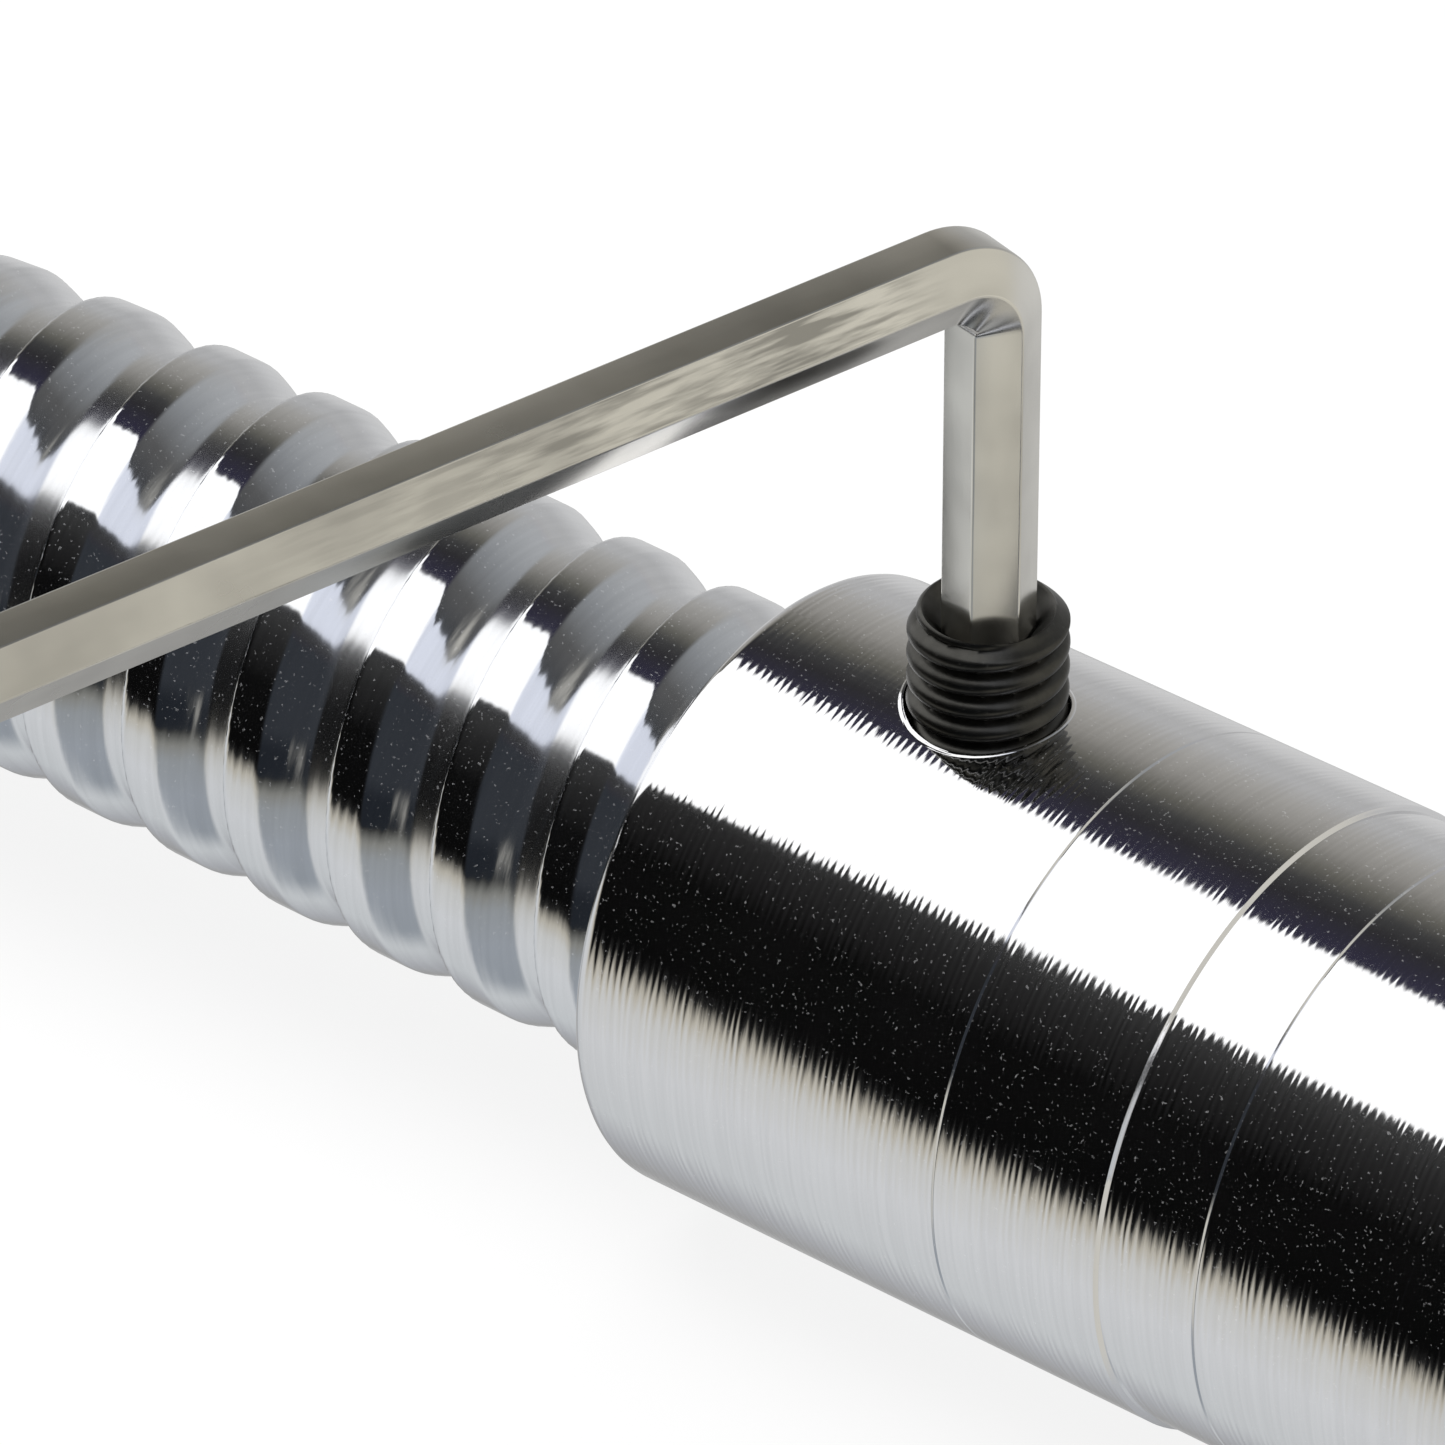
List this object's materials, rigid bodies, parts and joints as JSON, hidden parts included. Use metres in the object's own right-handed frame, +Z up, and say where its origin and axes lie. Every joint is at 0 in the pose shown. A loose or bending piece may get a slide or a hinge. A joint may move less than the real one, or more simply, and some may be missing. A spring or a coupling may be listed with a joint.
{
  "type": "cable shutter release",
  "caption": "Cable shutter release: ribbed metal sheath held in a turned barrel by a set screw with its hex key, finger plate, sprung plunger and swivelling threaded tip.",
  "frame": {"origin": "middle of the finger plate's flat lower edge, on the surface that the release lies on", "axes": "+X along the barrel from the sheath towards the thumb button, +Z up along the set screw"},
  "size_m": [0.1299, 0.0551, 0.0222],
  "materials": {
    "barrel_chrome": "chrome plate over fine turning marks",
    "hose_chrome": "bright plated ribbed sheath",
    "fitting_chrome": "bright chrome plate",
    "key_nickel": "nickel plate, drawn lengthways",
    "black_oxide": "black oxide",
    "bright_steel": "ground bright",
    "spring_steel": "drawn",
    "brass": "turned",
    "liner_nylon": "natural nylon"
  },
  "bodies": {
    "barrel": {"barrel": "barrel_chrome", "finger_plate": "fitting_chrome", "plate_washer": "bright_steel", "guide_bush": "fitting_chrome", "return_spring": "spring_steel", "hose_collar": "fitting_chrome", "armoured_hose": "hose_chrome", "inner_liner": "liner_nylon", "core_wire": "spring_steel", "tip_ferrule": "fitting_chrome", "pin_guide": "brass"},
    "plunger": {"plunger_rod": "bright_steel", "spring_seat": "brass", "plunger_wire": "spring_steel", "thumb_button": "fitting_chrome"},
    "release_pin": {"release_pin": "spring_steel"},
    "threaded_tip": {"threaded_tip": "fitting_chrome"},
    "clamp_pad": {"clamp_pad": "brass"},
    "set_screw": {"set_screw": "black_oxide"},
    "hex_key": {"hex_key": "key_nickel"}
  },
  "joints": [
    {"name": "plunger_press", "type": "slide", "parent": "barrel", "child": "plunger", "axis": [-1, 0, 0], "range_m": [0, 0.008], "stiffness_N_per_m": 200, "springref_m": -0.004, "deforming": ["return_spring"]},
    {"name": "pin_travel", "type": "slide", "parent": "barrel", "child": "release_pin", "axis": [-0.8574, -0.5088, 0.0772], "range_m": [0, 0.008]},
    {"name": "tip_swivel", "type": "hinge", "parent": "barrel", "child": "threaded_tip", "pos_m": [-0.10537, -0.02197, 0.00659], "axis": [-0.8574, -0.5088, 0.0772], "continuous": true},
    {"name": "pad_advance", "type": "slide", "parent": "barrel", "child": "clamp_pad", "axis": [0, 0, 1], "range_m": [-0.0016, 0.0009]},
    {"name": "screw_turn", "type": "hinge", "parent": "clamp_pad", "child": "set_screw", "pos_m": [-0.02845, 0, 0.0136], "axis": [0, 0, 1], "range_deg": [-1150, 646]},
    {"name": "key_lift", "type": "slide", "parent": "set_screw", "child": "hex_key", "axis": [0, 0, 1], "range_m": [0, 0.01]}
  ],
  "couplings": [
    {"joint": "pin_travel", "follows": "plunger_press", "ratio": 1},
    {"joint": "pad_advance", "follows": "screw_turn", "m_per_rad": 0.000079577}
  ]
}
